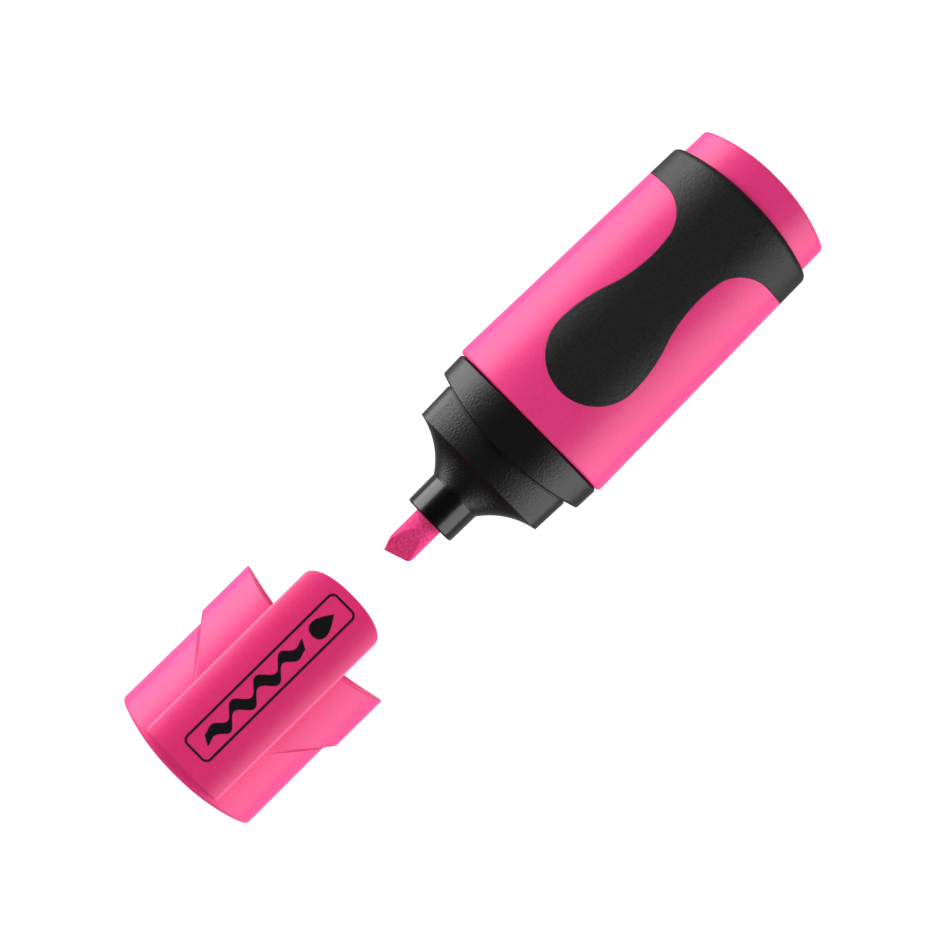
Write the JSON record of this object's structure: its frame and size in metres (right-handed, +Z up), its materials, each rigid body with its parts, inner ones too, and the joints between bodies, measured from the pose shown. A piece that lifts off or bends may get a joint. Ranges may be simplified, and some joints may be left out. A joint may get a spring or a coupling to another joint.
{
  "type": "pocket highlighter",
  "caption": "Short, wide pocket highlighter with a soft black grip, a chisel nib and its clip cap pulled off, lying on its back.",
  "frame": {"origin": "bottom centre of the whole, cap off: on the surface the pen lies on", "axes": "+X along the pen towards its tail end, +Z up, on the clip side; the pen lies on its flat back"},
  "size_m": [0.1096, 0.0256, 0.0167],
  "materials": {
    "body_pink": "fluorescent pink polypropylene, satin",
    "cap_pink": "fluorescent pink polypropylene, satin",
    "grip_rubber": "soft black thermoplastic elastomer, matte with fine grain",
    "section_black": "black polypropylene, satin collar and polished nozzle",
    "nib_felt": "pressed polyester felt soaked in pink ink",
    "core_fibre": "polyester fibre soaked in pink ink",
    "film_clear": "thin clear film",
    "inner_cap_white": "natural polyethylene"
  },
  "bodies": {
    "pen": {"barrel": "body_pink", "grip_overmould": "grip_rubber", "tail_plug": "body_pink", "front_section": "section_black", "nib": "nib_felt", "ink_reservoir": "core_fibre", "reservoir_film": "film_clear"},
    "cap": {"cap_shell": "cap_pink", "inner_cap": "inner_cap_white"},
    "clip": {"clip": "cap_pink"}
  },
  "joints": [
    {"name": "cap_slide", "type": "slide", "parent": "pen", "child": "cap", "axis": [1, 0, 0], "range_m": [0, 0.03566]},
    {"name": "clip_flex", "type": "hinge", "parent": "cap", "child": "clip", "pos_m": [-0.05303, 0, 0.0154], "axis": [0, -1, 0], "range_deg": [0, 4], "stiffness_Nm_per_rad": 0.8}
  ]
}
